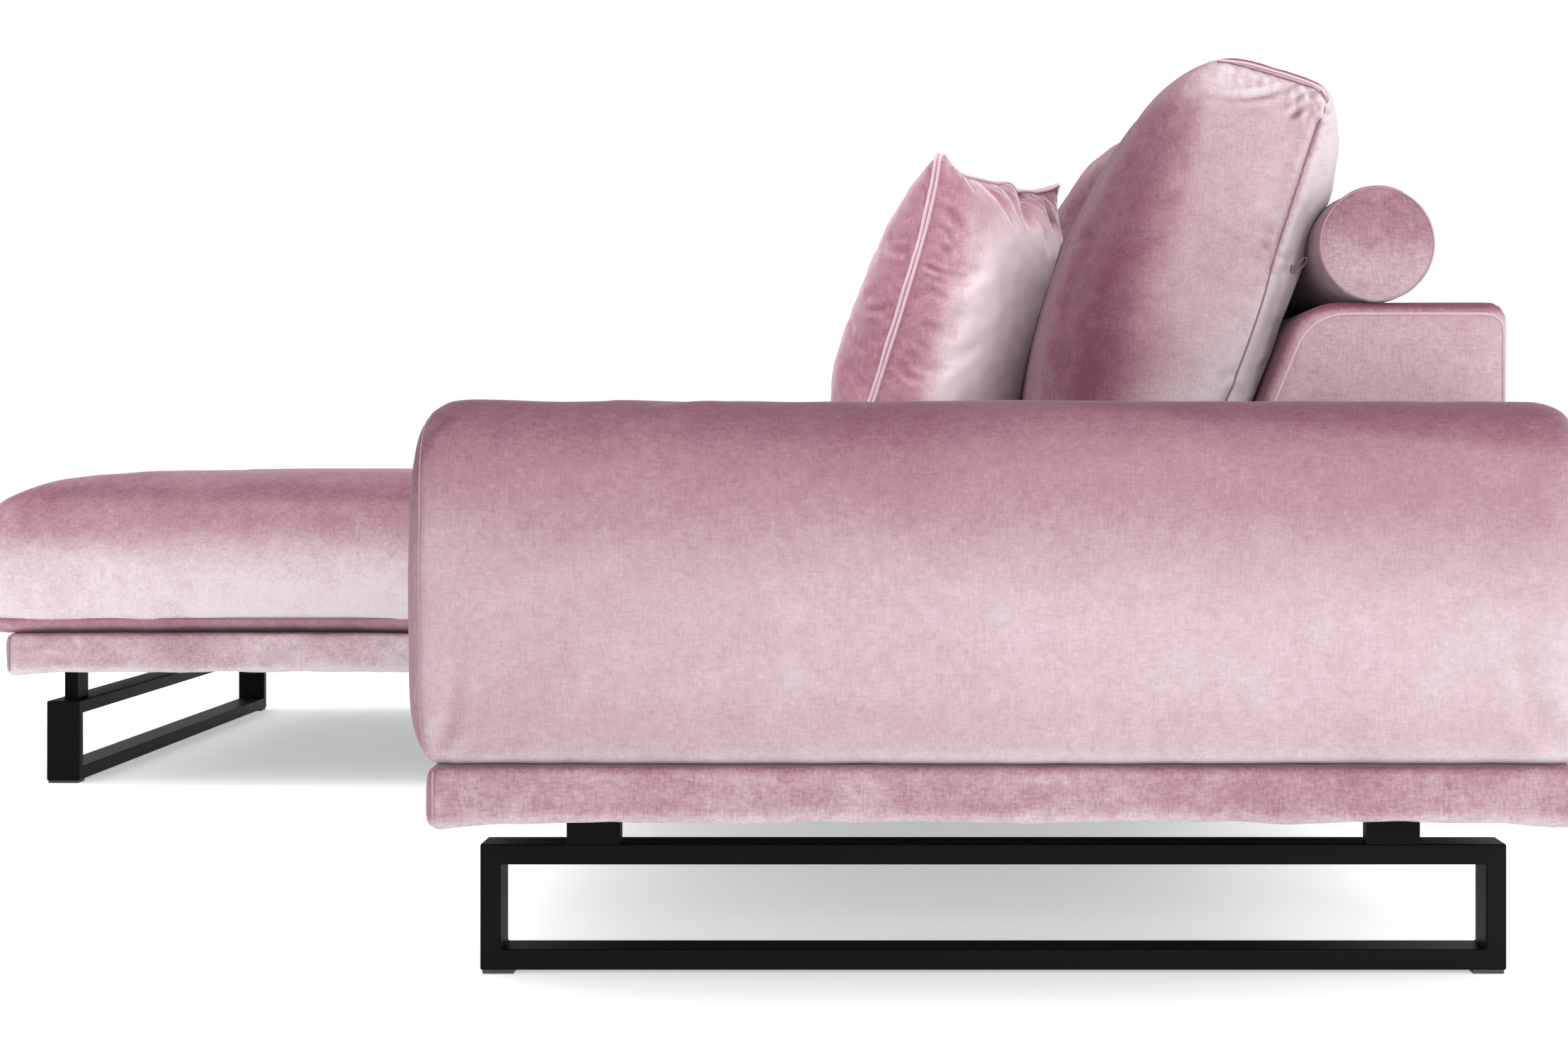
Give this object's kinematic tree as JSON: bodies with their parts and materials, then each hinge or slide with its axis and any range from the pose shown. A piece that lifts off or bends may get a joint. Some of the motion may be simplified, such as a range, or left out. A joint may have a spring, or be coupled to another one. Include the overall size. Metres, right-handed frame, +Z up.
{
  "type": "lounge sofa",
  "caption": "Corner lounge sofa: one arm, a long chaise, low backs with loose back cushions and bolsters, a throw pillow, rectangular sled legs.",
  "frame": {"origin": "on the floor, at the middle of the outline seen from above", "axes": "+X towards the arm, +Y towards the back, +Z up; the seats face -Y and the chaise is at -X"},
  "size_m": [2.922, 1.9946, 0.9136],
  "materials": {
    "velvet": "satin",
    "velvet_dark": "satin",
    "foam": "matte",
    "cloth_black": "matte",
    "timber": "matte",
    "steel_black": "satin",
    "zinc": "satin",
    "glide_plastic": "matte"
  },
  "bodies": {
    "sofa": {"seat_base_frame": "timber", "seat_base_cover": "velvet", "seat_base_webbing": "cloth_black", "seat_base_dust_cloth": "cloth_black", "chaise_base_frame": "timber", "chaise_base_cover": "velvet", "chaise_base_webbing": "cloth_black", "chaise_base_dust_cloth": "cloth_black", "arm_frame": "timber", "arm_foam": "foam", "arm_cover": "velvet", "arm_bolts": "zinc", "seat_back_frame": "timber", "seat_back_cover": "velvet", "chaise_back_frame": "timber", "chaise_back_cover": "velvet", "back_bolts": "zinc", "arm_leg": "steel_black", "middle_leg": "steel_black", "chaise_front_leg": "steel_black", "chaise_rear_leg": "steel_black", "leg_brackets": "steel_black", "leg_screws": "zinc", "leg_glides": "glide_plastic", "connector_plates": "zinc", "connector_screws": "zinc"},
    "seat_cushion_a": {"seat_cushion_cover_a": "velvet", "seat_cushion_core_a": "foam"},
    "seat_cushion_b": {"seat_cushion_cover_b": "velvet", "seat_cushion_core_b": "foam"},
    "chaise_cushion": {"chaise_cushion_cover": "velvet", "chaise_cushion_core": "foam"},
    "back_cushion_a": {"back_cushion_cover_a": "velvet", "back_cushion_core_a": "foam", "back_cushion_zip_a": "zinc"},
    "back_cushion_b": {"back_cushion_cover_b": "velvet", "back_cushion_core_b": "foam", "back_cushion_zip_b": "zinc"},
    "back_cushion_c": {"back_cushion_cover_c": "velvet", "back_cushion_core_c": "foam", "back_cushion_zip_c": "zinc"},
    "back_cushion_d": {"back_cushion_cover_d": "velvet", "back_cushion_core_d": "foam", "back_cushion_zip_d": "zinc"},
    "bolster_a": {"bolster_cover_a": "velvet_dark", "bolster_core_a": "foam"},
    "bolster_b": {"bolster_cover_b": "velvet_dark", "bolster_core_b": "foam"},
    "bolster_c": {"bolster_cover_c": "velvet_dark", "bolster_core_c": "foam"},
    "bolster_d": {"bolster_cover_d": "velvet_dark", "bolster_core_d": "foam"},
    "throw_pillow": {"pillow_cover": "velvet_dark", "pillow_insert": "foam"}
  },
  "joints": [
    {"name": "seat_cushion_a_pull", "type": "slide", "parent": "sofa", "child": "seat_cushion_a", "axis": [0, -1, 0], "range_m": [0, 0.3]},
    {"name": "seat_cushion_b_pull", "type": "slide", "parent": "sofa", "child": "seat_cushion_b", "axis": [0, -1, 0], "range_m": [0, 0.3]},
    {"name": "chaise_cushion_pull", "type": "slide", "parent": "sofa", "child": "chaise_cushion", "axis": [0, -1, 0], "range_m": [0, 0.3]},
    {"name": "back_cushion_a_lift", "type": "slide", "parent": "seat_cushion_a", "child": "back_cushion_a", "axis": [0, 0.3173, 0.9483], "range_m": [0, 0.3]},
    {"name": "back_cushion_b_lift", "type": "slide", "parent": "seat_cushion_b", "child": "back_cushion_b", "axis": [0, 0.3173, 0.9483], "range_m": [0, 0.3]},
    {"name": "back_cushion_c_lift", "type": "slide", "parent": "chaise_cushion", "child": "back_cushion_c", "axis": [0, 0.3173, 0.9483], "range_m": [0, 0.3]},
    {"name": "back_cushion_d_lift", "type": "slide", "parent": "chaise_cushion", "child": "back_cushion_d", "axis": [0, 0.3173, 0.9483], "range_m": [0, 0.3]},
    {"name": "bolster_a_lift", "type": "slide", "parent": "sofa", "child": "bolster_a", "axis": [0, 0.5, 0.866], "range_m": [0, 0.2]},
    {"name": "bolster_b_lift", "type": "slide", "parent": "sofa", "child": "bolster_b", "axis": [0, 0.5, 0.866], "range_m": [0, 0.2]},
    {"name": "bolster_c_lift", "type": "slide", "parent": "sofa", "child": "bolster_c", "axis": [0, 0.5, 0.866], "range_m": [0, 0.2]},
    {"name": "bolster_d_lift", "type": "slide", "parent": "sofa", "child": "bolster_d", "axis": [0, 0.5, 0.866], "range_m": [0, 0.2]},
    {"name": "throw_pillow_lift", "type": "slide", "parent": "seat_cushion_a", "child": "throw_pillow", "axis": [0, -0.3, 0.9539], "range_m": [0, 0.25]}
  ]
}
